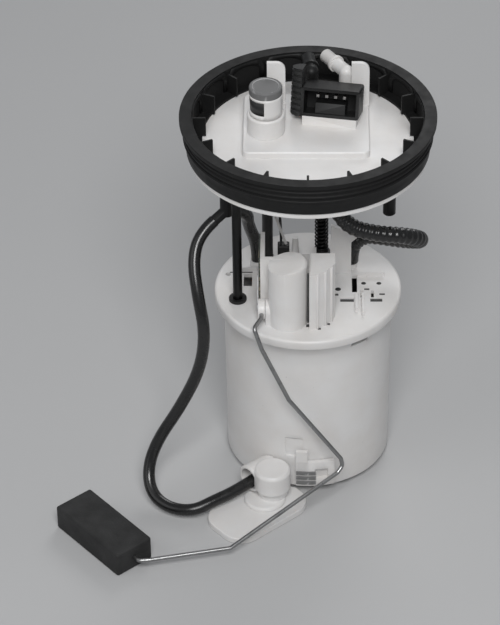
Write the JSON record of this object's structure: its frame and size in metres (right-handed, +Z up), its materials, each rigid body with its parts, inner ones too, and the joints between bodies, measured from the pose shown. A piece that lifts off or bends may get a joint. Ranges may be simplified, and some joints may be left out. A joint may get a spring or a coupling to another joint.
{
  "type": "fuel pump module",
  "caption": "In-tank fuel pump module: reservoir pot with electric pump, spring-lifted flanged cover on guide rods, level sender with float arm, and suction jet foot.",
  "frame": {"origin": "centre of the pot's underside, on the floor that the pot stands on", "axes": "+Z up along the pot's axis to the tank cover; the sender tower faces -Y; +X to the right when looking at the sender"},
  "size_m": [0.2208, 0.1977, 0.263],
  "materials": {
    "white_plastic": "satin",
    "black_rubber": "satin",
    "black_foam": "matte",
    "black_plastic": "satin",
    "grey_plastic": "matte",
    "steel": "satin",
    "core_steel": "satin",
    "brass": "satin",
    "magnet": "matte",
    "carbon": "matte",
    "card": "matte",
    "filter_mesh": "matte"
  },
  "bodies": {
    "reservoir": {"reservoir_pot": "white_plastic", "reservoir_lid": "white_plastic", "rod_bushes": "black_plastic", "sender_tower": "white_plastic", "ribbed_column": "white_plastic", "hose_bracket": "white_plastic", "sender_card": "card", "pump_plug": "black_plastic", "pump_holder": "white_plastic", "pump_sleeve": "black_rubber", "pump_can": "steel", "pump_base": "black_plastic", "pump_plate": "black_plastic", "pump_magnets": "magnet", "pump_brushes": "carbon", "pump_cap": "black_plastic", "outlet_sleeve": "black_rubber", "inlet_strainer": "filter_mesh", "mixing_tube": "white_plastic", "jet_body": "white_plastic", "jet_nozzle": "black_plastic", "pickup_foot": "white_plastic", "foot_strap": "white_plastic", "jet_hose": "black_rubber", "return_hose": "black_rubber", "supply_hose": "black_rubber", "pump_leads": "grey_plastic", "lift_spring": "steel"},
    "cover": {"tank_cover": "white_plastic", "seal_ring": "black_rubber", "guide_rods": "steel", "rod_clips": "steel", "vent_tube": "grey_plastic", "jet_tee": "black_plastic", "relief_valve": "black_plastic", "vent_cap": "grey_plastic", "connector_socket": "black_plastic", "connector_pins": "brass", "socket_latch": "black_plastic", "supply_port": "white_plastic", "return_port": "black_plastic"},
    "arm": {"float_arm": "steel", "arm_hub": "white_plastic", "wiper": "steel", "level_float": "black_foam"},
    "rotor": {"pump_shaft": "steel", "armature": "core_steel", "impeller": "black_plastic"},
    "check_poppet": {"check_poppet": "black_plastic"},
    "foot_valve": {"foot_valve": "black_rubber"},
    "vent_float": {"vent_float": "black_plastic"}
  },
  "joints": [
    {"name": "cover_lift", "type": "slide", "parent": "reservoir", "child": "cover", "axis": [0, 0, 1], "range_m": [-0.035, 0], "stiffness_N_per_m": 250, "springref_m": 0.03, "deforming": ["lift_spring", "supply_hose", "return_hose", "pump_leads", "jet_hose"]},
    {"name": "arm_pivot", "type": "hinge", "parent": "reservoir", "child": "arm", "pos_m": [-0.0245, -0.033, 0.125], "axis": [-1, 0, 0], "range_deg": [0, 70]},
    {"name": "pump_spin", "type": "hinge", "parent": "reservoir", "child": "rotor", "pos_m": [0.018, 0.01, 0.05], "axis": [0, 0, 1], "continuous": true},
    {"name": "check_lift", "type": "slide", "parent": "reservoir", "child": "check_poppet", "axis": [0, 0, 1], "range_m": [0, 0.002]},
    {"name": "foot_valve_lift", "type": "slide", "parent": "reservoir", "child": "foot_valve", "axis": [0, 0, 1], "range_m": [0, 0.0015]},
    {"name": "vent_lift", "type": "slide", "parent": "cover", "child": "vent_float", "axis": [0, 0, 1], "range_m": [0, 0.003]}
  ]
}
